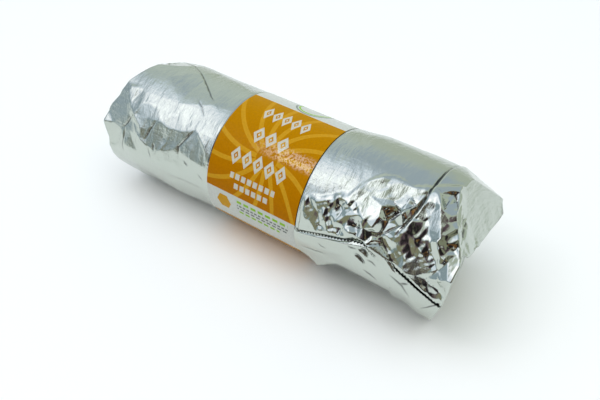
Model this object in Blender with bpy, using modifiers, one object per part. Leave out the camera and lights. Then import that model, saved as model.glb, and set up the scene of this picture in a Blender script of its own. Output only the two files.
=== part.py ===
"""A rolled taco shut in crumpled aluminium foil, with a paper band round its middle.

The roll lies along X, its neatly tucked end at -X and its crumpled end at +X, with Z up and
the floor at Z = 0. The foil can't be seen into, so foil and filling are one solid.

The form is worked out in roll units, where 1 is the diameter over the band. A place on the
roll has s, the distance along the axis from the middle of the band, and phi, the angle round
it in degrees: 0 faces the front (-Y), 90 faces up and 180 faces the back (+Y).
"""
import math
import random

import bmesh
import bpy
import numpy as np
from mathutils import Vector
from mathutils.geometry import delaunay_2d_cdt

# Driving sizes, in metres
ROLL_DIAMETER = 0.046
BAND_WIDTH = 0.0366
BAND_PAPER = 0.0004
CLEARANCE = 0.0003

# Roll units
UNIT = ROLL_DIAMETER
BAND_HALF = BAND_WIDTH / 2 / UNIT
BAND_RADIUS = 0.5
BAND_SKIN = BAND_PAPER / UNIT
GAP = CLEARANCE / UNIT
FOIL_RADIUS = 0.502
FLOOR = -0.492
BAND_FLOOR = -0.482

# How finely the foil is divided: (up to, steps) along the body and round it
LEFT_END, RIGHT_END = -1.5, 1.6
WAIST_EDGE, WAIST_FOOT = BAND_HALF + 0.03, BAND_HALF + GAP
BODY_STEPS = ((-WAIST_EDGE, 14), (-WAIST_FOOT, 1), (WAIST_FOOT, 2), (WAIST_EDGE, 1), (RIGHT_END, 31))
ROUND_STEPS = ((100.0, 42), (332.0, 34))
ROUND_START = -28.0
CAP_STEPS_LEFT, CAP_STEPS_RIGHT = 5, 7

# Where the foil's outer surface ends at each end, as s by phi
LEFT_RIM = {-90: -1.37, -60: -1.40, -30: -1.45, 0: -1.46, 15: -1.51, 30: -1.50, 45: -1.44, 60: -1.40,
            75: -1.34, 90: -1.29, 105: -1.28, 135: -1.35, 150: -1.40, 180: -1.41}
RIGHT_RIM = {-120: 1.34, -90: 1.37, -60: 1.41, -30: 1.46, 0: 1.53, 15: 1.55, 37: 1.56, 60: 1.60,
             140: 1.58, 165: 1.46, 200: 1.44}

# Fold planes that cut the ends: an outward direction and its distance from the middle
FOLD_PLANES = (
    ((0.830, 0.119, 0.545), 1.397),     # slope that closes the crumpled end
    ((0.350, 0.600, 0.720), 0.920),     # its back shoulder
    ((-0.278, -0.659, 0.698), 0.834),   # front corner of the tucked end
    ((-0.201, 0.414, 0.888), 0.695),    # top shoulder of the tucked end
    ((-0.600, -0.300, -0.740), 1.190),  # its lower corner
)

# The lip across the crumpled end, below which the end is tucked in
LIP_HEIGHT, LIP_TILT, LIP_WIDTH = 0.235, -0.16, 0.84
TUCKED_END = 1.39
TUCKED_POLE = 0.06

# Crumpled foil: where it lies, the size of its folds and how far they stand in or out
CRUMPLE_EDGE_LOW = {0.40: 2, 0.92: 19, 1.48: -6, 1.60: -10}
CRUMPLE_EDGE_HIGH = {0.40: 38, 0.54: 46, 0.66: 46, 0.80: 62, 0.95: 88, 1.12: 92, 1.36: 98, 1.60: 80}
FOLD_SPACING, FOLD_HEIGHT = 0.125, 0.034
SOFT_SPACING, SOFT_HEIGHT = 0.26, 0.007
CRUMPLE_SEED, SOFT_SEED = 7, 11

# Main creases of the crumpled part: (s, phi, height) along each
CREASES = (
    ((1.20, 92, 0.012), (1.17, 70, 0.014), (1.13, 45, 0.016)),                      # sheet edge
    ((1.13, 45, 0.014), (1.02, 32, 0.006), (0.92, 24, -0.020)),
    ((0.40, 30, 0.004), (0.47, 40, 0.012), (0.60, 44, 0.012), (0.74, 38, 0.010), (0.84, 33, 0.004)),
    ((0.41, 5, 0.010), (0.56, 9, 0.012), (0.72, 13, 0.012), (0.90, 19, 0.006)),     # cut edge
    ((0.97, 19, 0.004), (1.12, 12, 0.014), (1.30, 4, 0.016), (1.47, -5, 0.010)),    # ear's ridge
    ((1.19, 34, -0.004), (1.30, 33, 0.022), (1.42, 33, 0.026)),                     # slanting ridge
    ((1.31, 74, 0.020), (1.34, 60, 0.026), (1.36, 46, 0.018)),                      # upright ridge
    ((0.50, 24, -0.030), (0.66, 30, -0.034), (0.78, 26, -0.030)),                   # deep folds
    ((1.10, 26, -0.034), (1.22, 24, -0.036), (1.34, 20, -0.026)),
    ((1.24, 52, -0.030), (1.27, 42, -0.034)),
    ((1.44, 52, -0.036), (1.47, 40, -0.040), (1.49, 26, -0.030)),
)


def blend(low, high, value):
    """0 below low, 1 above high, and smooth between them."""
    part = np.clip((value - low) / (high - low), 0.0, 1.0)
    return part * part * (3.0 - 2.0 * part)


def by_angle(table, phi):
    """A value read round the roll from a table by angle."""
    return np.interp(phi, sorted(table), [table[key] for key in sorted(table)], period=360.0)


def along(table, s):
    """A value read along the roll from a table by place."""
    return np.interp(s, sorted(table), [table[key] for key in sorted(table)])


def near_angle(phi, middle, half_width):
    """1 at an angle round the roll, falling smoothly to 0 at half_width from it."""
    away = np.abs((phi - middle + 180.0) % 360.0 - 180.0)
    return 1.0 - blend(0.0, half_width, away)


def smooth_radius(s, phi):
    """The roll's radius without its crumples."""
    radius = np.full_like(s, FOIL_RADIUS)
    radius += 0.032 * blend(0.40, 0.65, s) * (1.0 - blend(1.15, 1.45, s)) * near_angle(phi, 125, 95)
    radius += 0.024 * blend(0.45, 0.90, -s) * near_angle(phi, -45, 90)
    radius -= 0.035 * blend(0.56, 0.72, s) * (1.0 - blend(1.22, 1.36, s)) * near_angle(phi, -48, 50)
    radius += 0.027 * blend(0.41, 0.49, s) * (1.0 - blend(0.57, 0.65, s)) * near_angle(phi, -38, 30)
    radius += 0.008 * blend(0.40, 0.44, s) * (1.0 - blend(0.46, 0.56, s)) * near_angle(phi, 110, 40)
    radius -= 0.010 * blend(1.15, 1.35, -s)
    waist = BAND_RADIUS - BAND_SKIN - GAP
    under_band = 1.0 - blend(WAIST_FOOT, WAIST_EDGE, np.abs(s))
    return radius + (waist - radius) * under_band


def on_roll(s, phi, radius):
    """Points at s, phi and radius, as rows of x, y and z in roll units."""
    angle = np.radians(phi)
    return np.stack([s, -radius * np.cos(angle), radius * np.sin(angle)], axis=-1)


def fold_points(spacing, height, seed, s_range, phi_range, creases):
    """Corners of the folds: the creases' own, and scattered ones that keep clear of them."""
    rng = random.Random(seed)
    arc = math.radians(1.0) * 0.5
    corners = [point for crease in creases for point in crease]
    links, start = [], 0
    for crease in creases:
        links += [(start + i, start + i + 1) for i in range(len(crease) - 1)]
        start += len(crease)
    rows = round((phi_range[1] - phi_range[0]) * arc / spacing)
    columns = round((s_range[1] - s_range[0]) / spacing)
    for row in range(rows + 1):
        for column in range(columns + 1):
            s = s_range[0] + (column + rng.uniform(-0.42, 0.42) + 0.5 * (row % 2)) * spacing
            phi = phi_range[0] + (row + rng.uniform(-0.42, 0.42)) * spacing / arc
            rise = rng.uniform(-1.0, 1.0) * height
            if all(math.hypot(s - p[0], (phi - p[1]) * arc) > 0.55 * spacing for p in corners):
                corners.append((s, phi, rise))
    return corners, links


def folded(s, phi, corners, links):
    """Points at s and phi on flat facets that span the fold corners, and where there are facets."""
    arc = math.radians(1.0) * 0.5
    flat = [Vector((c[0], c[1] * arc)) for c in corners]
    verts, _, faces, origins, _, _ = delaunay_2d_cdt(flat, links, [], 0, 1e-5)
    rise = [sum(corners[o][2] for o in old) / len(old) if old else 0.0 for old in origins]
    place = np.array([(v[0], v[1]) for v in verts])
    corner_phi = place[:, 1] / arc
    solid = on_roll(place[:, 0], corner_phi, smooth_radius(place[:, 0], corner_phi) + np.array(rise))
    points = on_roll(s, phi, smooth_radius(s, phi))
    covered = np.zeros(s.shape, dtype=bool)
    across = phi * arc
    for a, b, c in faces:
        (ax, ay), (bx, by), (cx, cy) = place[a], place[b], place[c]
        area = (bx - ax) * (cy - ay) - (cx - ax) * (by - ay)
        weight_b = ((s - ax) * (cy - ay) - (cx - ax) * (across - ay)) / area
        weight_c = ((bx - ax) * (across - ay) - (s - ax) * (by - ay)) / area
        weight_a = 1.0 - weight_b - weight_c
        inside = (weight_a >= -1e-9) & (weight_b >= -1e-9) & (weight_c >= -1e-9)
        points[inside] = (weight_a[inside, None] * solid[a] + weight_b[inside, None] * solid[b]
                          + weight_c[inside, None] * solid[c])
        covered |= inside
    return points, covered


def crumple_share(s, phi):
    """1 in the crumpled foil, 0 in the smooth foil."""
    low, high = along(CRUMPLE_EDGE_LOW, s), along(CRUMPLE_EDGE_HIGH, s)
    inside = blend(0.0, 5.0, phi - low) * (1.0 - blend(-6.0, 2.0, phi - high))
    return inside * blend(BAND_HALF + 0.01, BAND_HALF + 0.05, s)


def foil_points(place, share, phi):
    """The foil's surface: place runs along the body, and share from 0 in an end's middle to 1."""
    left_rim, right_rim = by_angle(LEFT_RIM, phi), by_angle(RIGHT_RIM, phi)
    turn_left, turn_right = -1.0, 1.15
    s = np.where(place < turn_left,
                 turn_left + (place - turn_left) * (left_rim - turn_left) / (LEFT_END - turn_left), place)
    s = np.where(place > turn_right,
                 turn_right + (place - turn_right) * (right_rim - turn_right) / (RIGHT_END - turn_right), s)
    angle = (phi + 180.0) % 360.0 - 180.0
    points = on_roll(s, angle, smooth_radius(s, angle))

    soft, covered = folded(s, angle, *fold_points(SOFT_SPACING, SOFT_HEIGHT, SOFT_SEED, (-1.7, 1.8),
                                                  (-190, 190), ()))
    amount = np.where(covered, 0.7 * blend(BAND_HALF + 0.01, BAND_HALF + 0.12, np.abs(s)), 0.0)
    amount *= 1.0 - near_angle(angle, -90, 50)
    points += amount[:, None] * (soft - points)
    sharp, covered = folded(s, angle, *fold_points(FOLD_SPACING, FOLD_HEIGHT, CRUMPLE_SEED, (0.36, 1.70),
                                                   (-20, 110), CREASES))
    amount = np.where(covered, crumple_share(s, angle), 0.0)
    points += amount[:, None] * (sharp - points)

    # The ends: flat faces inside their rims, with tucks that run in from the rim
    tuck = 0.018 * np.sin(np.radians(angle * 3.0 + 40.0)) * np.sin(np.pi * share)
    left = (share < 1.0) & (place < 0.0)
    points[left, 0] = (s * share - 1.45 * (1.0 - share) + tuck)[left]
    points[left, 1:] *= share[left, None]

    # At the crumpled end the upper foil comes down to the lip, and then turns in under it
    lip_point = np.stack([np.full_like(s, RIGHT_END), LIP_WIDTH * points[:, 1],
                          LIP_HEIGHT + LIP_TILT * LIP_WIDTH * points[:, 1]], axis=-1)
    pole = np.array([TUCKED_END, 0.0, TUCKED_POLE])
    hang = blend(-0.02, 0.08, points[:, 2] - LIP_HEIGHT - LIP_TILT * points[:, 1])[:, None]
    halfway = (points + pole) / 2.0
    halfway[:, 0] = TUCKED_END
    halfway += hang * (lip_point - halfway)
    outer = np.clip(2.0 * share - 1.0, 0.0, 1.0)[:, None]
    inner = np.clip(2.0 * share, 0.0, 1.0)[:, None]
    ends = np.where(outer > 0.0, halfway + outer * (points - halfway), pole + inner * (halfway - pole))
    ear = (s - TUCKED_END) * (blend(0.70, 1.0, share) - outer[:, 0]) * (1.0 - hang[:, 0])
    ends[:, 0] += ear + tuck * (1.0 - hang[:, 0])
    right = (share < 1.0) & (place > 0.0)
    points[right] = ends[right]

    for direction, reach in FOLD_PLANES:
        direction = np.array(direction) / np.linalg.norm(direction)
        beyond = np.maximum(points @ direction - reach, 0.0)
        points -= beyond[:, None] * direction
    under_band = 1.0 - blend(WAIST_FOOT, WAIST_EDGE, np.abs(points[:, 0]))
    floor = FLOOR + (BAND_FLOOR + BAND_SKIN + GAP - FLOOR) * under_band
    points[:, 2] = np.maximum(points[:, 2], floor)
    return points


def stations(start, steps):
    """Places from start on, evenly spaced in each stretch of (end, steps)."""
    places = [start]
    for end, count in steps:
        first = places[-1]
        places += [first + (end - first) * (i + 1) / count for i in range(count)]
    return np.array(places)


def material(name, colour, roughness, metallic):
    made = bpy.data.materials.new(name)
    made.use_nodes = True
    surface = made.node_tree.nodes["Principled BSDF"]
    surface.inputs["Base Color"].default_value = (*colour, 1.0)
    surface.inputs["Roughness"].default_value = roughness
    surface.inputs["Metallic"].default_value = metallic
    made.diffuse_color = (*colour, 1.0)
    return made


def add_object(name, mesh, collection, finish):
    piece = bpy.data.objects.new(name, mesh)
    collection.objects.link(piece)
    mesh.materials.append(finish)
    return piece


def foil_mesh():
    """A UV sphere whose rows become the rings of the ends and body, and its columns the turn."""
    body = stations(LEFT_END, BODY_STEPS)
    left = [(LEFT_END, (i + 1) / (CAP_STEPS_LEFT + 1)) for i in range(CAP_STEPS_LEFT)]
    right = [(RIGHT_END, (i + 1) / (CAP_STEPS_RIGHT + 1)) for i in range(CAP_STEPS_RIGHT)]
    rings = [(LEFT_END, 0.0)] + left + [(s, 1.0) for s in body] + right[::-1] + [(RIGHT_END, 0.0)]
    turn = stations(ROUND_START, ROUND_STEPS)[:-1]

    build = bmesh.new()
    bmesh.ops.create_uvsphere(build, u_segments=len(turn), v_segments=len(rings) - 1, radius=1.0)
    place, share, phi = [], [], []
    for vert in build.verts:
        x, y, z = vert.co
        row = round(math.acos(max(-1.0, min(1.0, -z))) / math.pi * (len(rings) - 1))
        column = round(-math.atan2(y, x) / math.tau * len(turn)) % len(turn)
        place.append(rings[row][0])
        share.append(rings[row][1])
        phi.append(turn[column])
    points = foil_points(np.array(place), np.array(share), np.array(phi))
    for vert, point in zip(build.verts, points):
        vert.co = point * UNIT
    bmesh.ops.triangulate(build, faces=build.faces)
    mesh = bpy.data.meshes.new("foil_wrap")
    build.to_mesh(mesh)
    build.free()
    mesh.shade_smooth()
    mesh.set_sharp_from_angle(angle=math.radians(20.0))
    return mesh


def band_mesh():
    """An open tube, flattened where it faces the floor, whose skin Solidify thickens inwards."""
    build = bmesh.new()
    bmesh.ops.create_cone(build, cap_ends=False, segments=76, radius1=BAND_RADIUS, radius2=BAND_RADIUS,
                          depth=2.0 * BAND_HALF)
    for vert in build.verts:
        x, y, z = vert.co
        vert.co = Vector((z, x, max(y, BAND_FLOOR))) * UNIT
    mesh = bpy.data.meshes.new("paper_band")
    build.to_mesh(mesh)
    build.free()
    mesh.shade_smooth()
    mesh.set_sharp_from_angle(angle=math.radians(30.0))
    return mesh


def main():
    for old in list(bpy.data.objects):
        bpy.data.objects.remove(old)
    collection = bpy.data.collections.new("foil_wrapped_taco")
    bpy.context.scene.collection.children.link(collection)

    foil = add_object("foil_wrap", foil_mesh(), collection,
                      material("aluminium_foil", (0.62, 0.66, 0.63), 0.22, 1.0))
    band = add_object("paper_band", band_mesh(), collection,
                      material("printed_paper", (0.45, 0.19, 0.004), 0.55, 0.0))
    skin = band.modifiers.new("paper", "SOLIDIFY")
    skin.thickness = BAND_PAPER
    skin.offset = -1.0
    skin.use_even_offset = True

    # The origin is on the floor, under the middle of the roll's outer box
    corners = np.array([vert.co for vert in foil.data.vertices])
    middle = (corners.min(axis=0) + corners.max(axis=0)) / 2.0
    shift = Vector((-middle[0], -middle[1], -FLOOR * UNIT))
    for piece in (foil, band):
        for vert in piece.data.vertices:
            vert.co += shift


main()
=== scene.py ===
"""The looks of a taco shut in aluminium foil, with a printed paper band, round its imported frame.

The foil is worked out in roll units, where 1 is the diameter over the band. A place on the roll
has s, the distance along the axis from the middle of the band, and phi, the angle round it in
degrees: 0 faces the front (-Y), 90 faces up and 180 faces the back (+Y).
"""
import math
import random

import bpy
import numpy as np
from mathutils import Matrix, Vector, noise
from mathutils.geometry import delaunay_2d_cdt


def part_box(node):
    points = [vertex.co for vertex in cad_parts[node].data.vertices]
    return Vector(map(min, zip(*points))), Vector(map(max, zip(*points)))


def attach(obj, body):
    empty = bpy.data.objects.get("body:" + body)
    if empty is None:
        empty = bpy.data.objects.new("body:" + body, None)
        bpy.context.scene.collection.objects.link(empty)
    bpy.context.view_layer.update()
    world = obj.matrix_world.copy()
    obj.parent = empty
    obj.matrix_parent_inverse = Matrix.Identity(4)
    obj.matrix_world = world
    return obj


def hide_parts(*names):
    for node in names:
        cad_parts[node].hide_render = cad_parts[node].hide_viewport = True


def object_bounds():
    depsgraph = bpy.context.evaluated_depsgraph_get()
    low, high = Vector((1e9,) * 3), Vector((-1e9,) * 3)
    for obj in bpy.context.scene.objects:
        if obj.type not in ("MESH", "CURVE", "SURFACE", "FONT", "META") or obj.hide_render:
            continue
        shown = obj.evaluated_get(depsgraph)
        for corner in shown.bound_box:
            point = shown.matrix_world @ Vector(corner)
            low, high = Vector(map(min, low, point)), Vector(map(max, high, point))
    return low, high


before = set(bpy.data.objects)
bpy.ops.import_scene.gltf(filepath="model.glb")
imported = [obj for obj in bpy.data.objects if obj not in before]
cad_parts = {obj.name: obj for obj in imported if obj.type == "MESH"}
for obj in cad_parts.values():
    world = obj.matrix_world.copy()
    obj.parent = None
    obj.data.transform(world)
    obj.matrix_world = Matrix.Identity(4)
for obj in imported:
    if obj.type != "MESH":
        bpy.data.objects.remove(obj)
cad_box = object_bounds()
bpy.ops.object.select_all(action="DESELECT")

# The roll's place and unit, read from the band of the frame
BAND_LOW, BAND_HIGH = (np.array(corner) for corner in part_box("paper_band"))
UNIT = float(BAND_HIGH[1] - BAND_LOW[1])
AXIS = np.array([(BAND_LOW[0] + BAND_HIGH[0]) / 2, (BAND_LOW[1] + BAND_HIGH[1]) / 2, BAND_HIGH[2] - UNIT / 2])
MM = 0.001 / UNIT
BAND_HALF = (BAND_HIGH[0] - BAND_LOW[0]) / 2 / UNIT
BAND_RADIUS = 0.5
ARC = math.radians(1.0) * BAND_RADIUS       # length of one degree round the roll
BAND_FLOOR = (BAND_LOW[2] - AXIS[2]) / UNIT
FLOOR = -AXIS[2] / UNIT

# The photographed view: an image 600 pixels wide, its focal length in pixels, and the camera's
# place and directions in roll units
IMAGE_WIDTH, FOCAL_PIXELS = 600, 700
SENSOR_WIDTH = 36.0
CAMERA_PLACE = (2.4257, -3.28496, 3.4197)
CAMERA_RIGHT = (0.81497, 0.57951, 0.0)
CAMERA_UP = (-0.38933, 0.54753, 0.7407)
CAMERA_BACK = (0.42924, -0.60364, 0.67184)

# Colours
# The foil's metal, and the dark tone of the painted shade in its creases, valleys and sheet edges
FOIL_METAL, FOIL_PAINTED_SHADE = "#C1C8C0", "#3C3B3C"
PAPER_WHITE, INK_ORANGE, INK_DEEP_ORANGE, INK_OCHRE = "#C9CDC6", "#B68200", "#AE6C00", "#C4921F"
INK_PALE, INK_GREEN, INK_GREY, INK_GREY_GREEN = "#C6C4B6", "#8DBB3C", "#6F7672", "#8B968A"
SHEEN, BOARD, BACKDROP = "#F2DCA8", "#FAFBF9", "#EEF3F4"

# The room by direction: (towards, degrees from it where the tone begins, and where it is full,
# tone, strength)
ROOM_WALL = "#D0D8CB"
ROOM = (
    ((-0.75, 0.45, 0.48), 34, 16, "#DEE7E2", 1.0),      # lighter wall behind, on the left
    ((-0.05, 0.32, 0.946), 37, 30, "#BFCCDB", 1.0),     # ceiling
    ((-0.62, -0.77, 0.10), 46, 34, "#9AAAAD", 1.0),     # wall in front, on the left
    ((-0.98, -0.20, 0.05), 44, 36, "#A9B9C6", 1.0),     # its other half
    ((-0.32, -0.93, 0.20), 13, 10, "#9C987E", 1.0),     # wooden things before it
    ((0.55, -0.78, 0.31), 47, 44, "#75616B", 1.0),      # dark room on the camera's side
    ((0.55, -0.78, 0.31), 42, 36, "#2A2628", 1.0),
    ((0.86, -0.40, 0.30), 12, 6, "#A87B4B", 1.0),       # warm things in it
    ((0.45, -0.55, 0.70), 14, 9, "#9A9C86", 1.0),
    ((0.30, -0.88, 0.36), 9, 5, "#7F5B38", 1.0),
    ((0.72, -0.62, 0.30), 9, 4, "#6A4452", 1.0),
    ((0.45, -0.74, 0.50), 7, 4, "#94704A", 1.0),
    ((0.62, -0.76, 0.14), 6, 3, "#C7CBC2", 1.0),        # pale things in it
    ((0.18, -0.93, 0.31), 5, 3, "#D9DED6", 1.0),
    ((0.80, -0.52, 0.42), 5, 2, "#D4D8D0", 1.0),
    ((-0.38, -0.80, 0.46), 9, 7, "#F4F8FF", 1.4),       # a window
    ((-0.53, -0.25, 0.81), 30, 10, "#E4EDFF", 1.36),    # big soft panel
    ((-0.55, -0.64, 0.54), 19, 10, "#E4EDFF", 1.28),    # its lower half
    ((-0.50, -0.42, 0.76), 25, 12, "#F4F2FF", 1.66),    # its bright middle
    ((-0.42, -0.46, 0.79), 14, 5, "#FAFAFF", 2.10),     # the lamp in it
)

# Panel lights: (name, direction from the roll, distance, width, depth, brightness)
PANELS = (
    ("key panel", (-0.40, -0.47, 0.79), 0.60, 0.06, 0.06, 13.0),
    ("fill panel", (0.10, -0.10, 1.00), 1.20, 1.40, 1.40, 1.38),
)
BOARD_SIZE = 4.0

# The band's print, in millimetres along the roll (x) and round it from the front (y)
DEGREE = ARC / MM
FIELD = (6.0 * DEGREE, 104.0 * DEGREE)      # the orange one in front
NEXT_FIELD = -27.0 * DEGREE                 # where the next one begins, under the roll
SUN, RAYS, RAY_WIDTH, RAY_TWIST, SUN_CLEAR = (2.0, 19.5), 15, 1.6, 0.018, 4.0
DIAMONDS = (    # each row's middle, half height, half length and pitch
    (86.5 * DEGREE, 3.4, 9.25, 3.7),
    (63.5 * DEGREE, 3.4, 7.20, 4.8),
    (40.5 * DEGREE, 3.5, 11.25, 4.5),
)
DASHES = (      # each row's middle, half height, start, end, pitch and ink
    (24.0 * DEGREE, 1.0, -9.0, 9.0, 2.4, INK_PALE),
    (15.5 * DEGREE, 1.0, -7.2, 7.2, 2.4, INK_PALE),
    (0.4, 0.55, -5.4, 15.6, 3.0, INK_GREEN),
    (-1.3, 0.35, -5.4, 15.6, 1.6, INK_GREY),
    (-2.6, 0.35, -5.4, 15.6, 2.2, INK_GREY),
    (-4.2, 0.50, -5.4, 12.0, 2.6, INK_GREEN),
)
DIAMOND_DOT, DIAMOND_LINE, DASH_GAP = 0.17, (0.42, 0.92), 0.3       # in shares of half a pitch
HEXAGON = (-11.2, -2.4, 3.0)            # middle and half height
RING = (2.0, 49.0, 7.0)                 # middle and radius
RING_LINES = ((0.0, 0.7, INK_GREY_GREEN), (1.1, 1.8, INK_GREEN))    # from and to, inwards, and ink
RUBBED = (22.7, 3.4, (-7.0, 8.0))       # stripe: middle, half height, and from where to where it grows

# The finishes: sizes of their patterns in millimetres, how rough they are, and how far tones go
GLOSSY_PATCH, INK_FILM, PAPER_GRAIN, RUBBED_SPECK = 100 / 7, 2 / 3, 5 / 13, 5 / 7
NOISE_MIDDLE = (0.3, 0.7)                       # most of a noise's values lie between these
FOIL_ROUGHNESS, CRUMPLED_GLOSS = (0.14, 0.22), 0.10
CRUMPLED_GRAIN = 0.25                           # the grain's strength in the crumpled foil
# Painted shade in the foil: the shares between which it grows, and how dark it gets at most
PAINTED_SHADE_DEPTHS, PAINTED_SHADE_DARKEST = (0.25, 0.95), 0.85
PAPER_ROUGHNESS, GRAIN_DEPTH, FILM_TONES = 0.24, 0.00005, (0.93, 1.05)     # depth in metres
RUBBED_CORE, RUBBED_LEAST, SPECK_EDGE = 0.4, 0.02, (0.44, 0.56)
RUBBED_SHINE, PLAIN_SHINE, COAT_ROUGHNESS, COAT_IOR = 0.90, 0.04, 0.12, 2.0
BOARD_ROUGHNESS = 0.9

# The foil's form, as the frame's solid has it
PAPER = 0.15 * MM
GAP = 0.1 * MM
FOIL_RADIUS = 0.499
LEFT_END, RIGHT_END = -1.5, 1.6
LEFT_LEAN, RIGHT_LEAN = -1.0, 1.15          # past these the rings lean, to reach the uneven rims
WAIST_EDGE, WAIST_FOOT = BAND_HALF + 0.008, BAND_HALF + 0.002
BODY_STEPS = ((-WAIST_EDGE, 138), (-WAIST_FOOT, 2), (WAIST_FOOT, 2), (WAIST_EDGE, 2), (RIGHT_END, 190))
ROUND_START = -90.0
ROUND_STEPS = ((-36.0, 12), (112.0, 190), (270.0, 48))
CAP_STEPS_LEFT, CAP_STEPS_RIGHT = 32, 16

# Where the foil's outer surface ends at each end, as s by phi
LEFT_RIM = {-90: -1.37, -60: -1.40, -30: -1.45, 0: -1.46, 15: -1.51, 30: -1.50, 45: -1.44, 60: -1.40,
            75: -1.34, 90: -1.29, 105: -1.28, 135: -1.35, 150: -1.40, 180: -1.41}
RIGHT_RIM = {-120: 1.34, -90: 1.37, -60: 1.41, -30: 1.46, 0: 1.53, 15: 1.55, 37: 1.56, 60: 1.60,
             140: 1.58, 165: 1.46, 200: 1.44}

# Fold planes that cut the ends: an outward direction and its distance from the middle
FOLD_PLANES = (
    ((0.830, 0.119, 0.545), 1.397),     # slope that closes the crumpled end
    ((0.350, 0.600, 0.720), 0.920),     # its back shoulder
    ((-0.278, -0.659, 0.698), 0.834),   # front corner of the tucked end
    ((-0.201, 0.414, 0.888), 0.695),    # top shoulder of the tucked end
    ((-0.600, -0.300, -0.740), 1.190),  # its lower corner
)

# The middle of the tucked end, and the tucks that run in from the rims: depth, how many, and turn
LEFT_POLE = -1.45
TUCKS = (0.018, 3.0, 40.0)

# The lip across the crumpled end, how the foil above it hangs, and how it is tucked in below
LIP_HEIGHT, LIP_TILT, LIP_WIDTH = 0.235, -0.16, 0.84
HANG = (-0.02, 0.08)
TUCKED_END = 1.39
TUCKED_POLE = 0.06
EAR_RIM = (0.70, 1.0)           # the ear reaches out in this outermost share of the end

# How the roll swells and sinks: how far, where along it that grows, where it ends, and its middle
# and half width round it
SWELLS = (
    (0.032, (0.40, 0.65), (1.15, 1.45), 125, 95),       # filling behind the top of the right part
    (0.024, (-2.9, -2.8), (-0.90, -0.45), -45, 90),     # belly of the left part, to past its end
    (-0.035, (0.56, 0.72), (1.22, 1.36), -48, 50),      # hollow under the right part
    (0.010, (0.41, 0.49), (0.57, 0.65), -38, 30),       # fold that hangs beside the band
    (0.008, (0.40, 0.44), (0.46, 0.56), 110, 40),       # bead on top beside the band
)

# Towards the tucked end, the taper, and the dent in front with the angles it grows and ends over
LEFT_TAPER = (0.010, (1.15, 1.35))
LEFT_DENT = (0.010, (0.45, 0.70), (0.0, 26.0), (26.0, 75.0))
NEAR_BAND = (BAND_HALF + 0.01, BAND_HALF + 0.05)        # from here to there the folds grow
BACK, UNDERSIDE = (195, 75), (-90, 50)                  # middle and half width, in degrees

# Crumpled foil: where it lies and how it fades there, and the spacing and height of its folds
CRUMPLE_EDGE_LOW = {0.40: 2, 0.92: 19, 1.48: -6, 1.60: -10}
CRUMPLE_EDGE_HIGH = {0.40: 36, 0.54: 40, 0.62: 46, 0.70: 54, 0.78: 66, 0.86: 75, 0.95: 78, 1.12: 80, 1.20: 84,
                     1.36: 96, 1.60: 80}
CRUMPLE_FADES = ((0.0, 5.0), (-6.0, 2.0))
FOLD_SPACING, FOLD_HEIGHT, FOLD_CLEAR, FOLD_AREA = 0.125, 0.034, 1.0, ((0.36, 1.70), (-20, 110))
CRUMPLE_SEED, SOFT_SEED = 7, 11
STRAY = 0.42                                            # of a scattered corner, as a share of the spacing

# Soft folds of the smooth foil: how much of them shows, more at the back and less in the middle
SOFT_SPACING, SOFT_HEIGHT, SOFT_AREA = 0.26, 0.007, ((-1.7, 1.8), (-190, 190))
SOFT_SHARE, SOFT_MORE_AT_BACK, SOFT_LESS_IN_MIDDLE = 0.3, 1.6, 0.7
SOFT_MIDDLE = ((0.3, 0.5), (1.0, 1.2))
SOFT_NEAR_BAND = (BAND_HALF + 0.01, BAND_HALF + 0.12)

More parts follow.
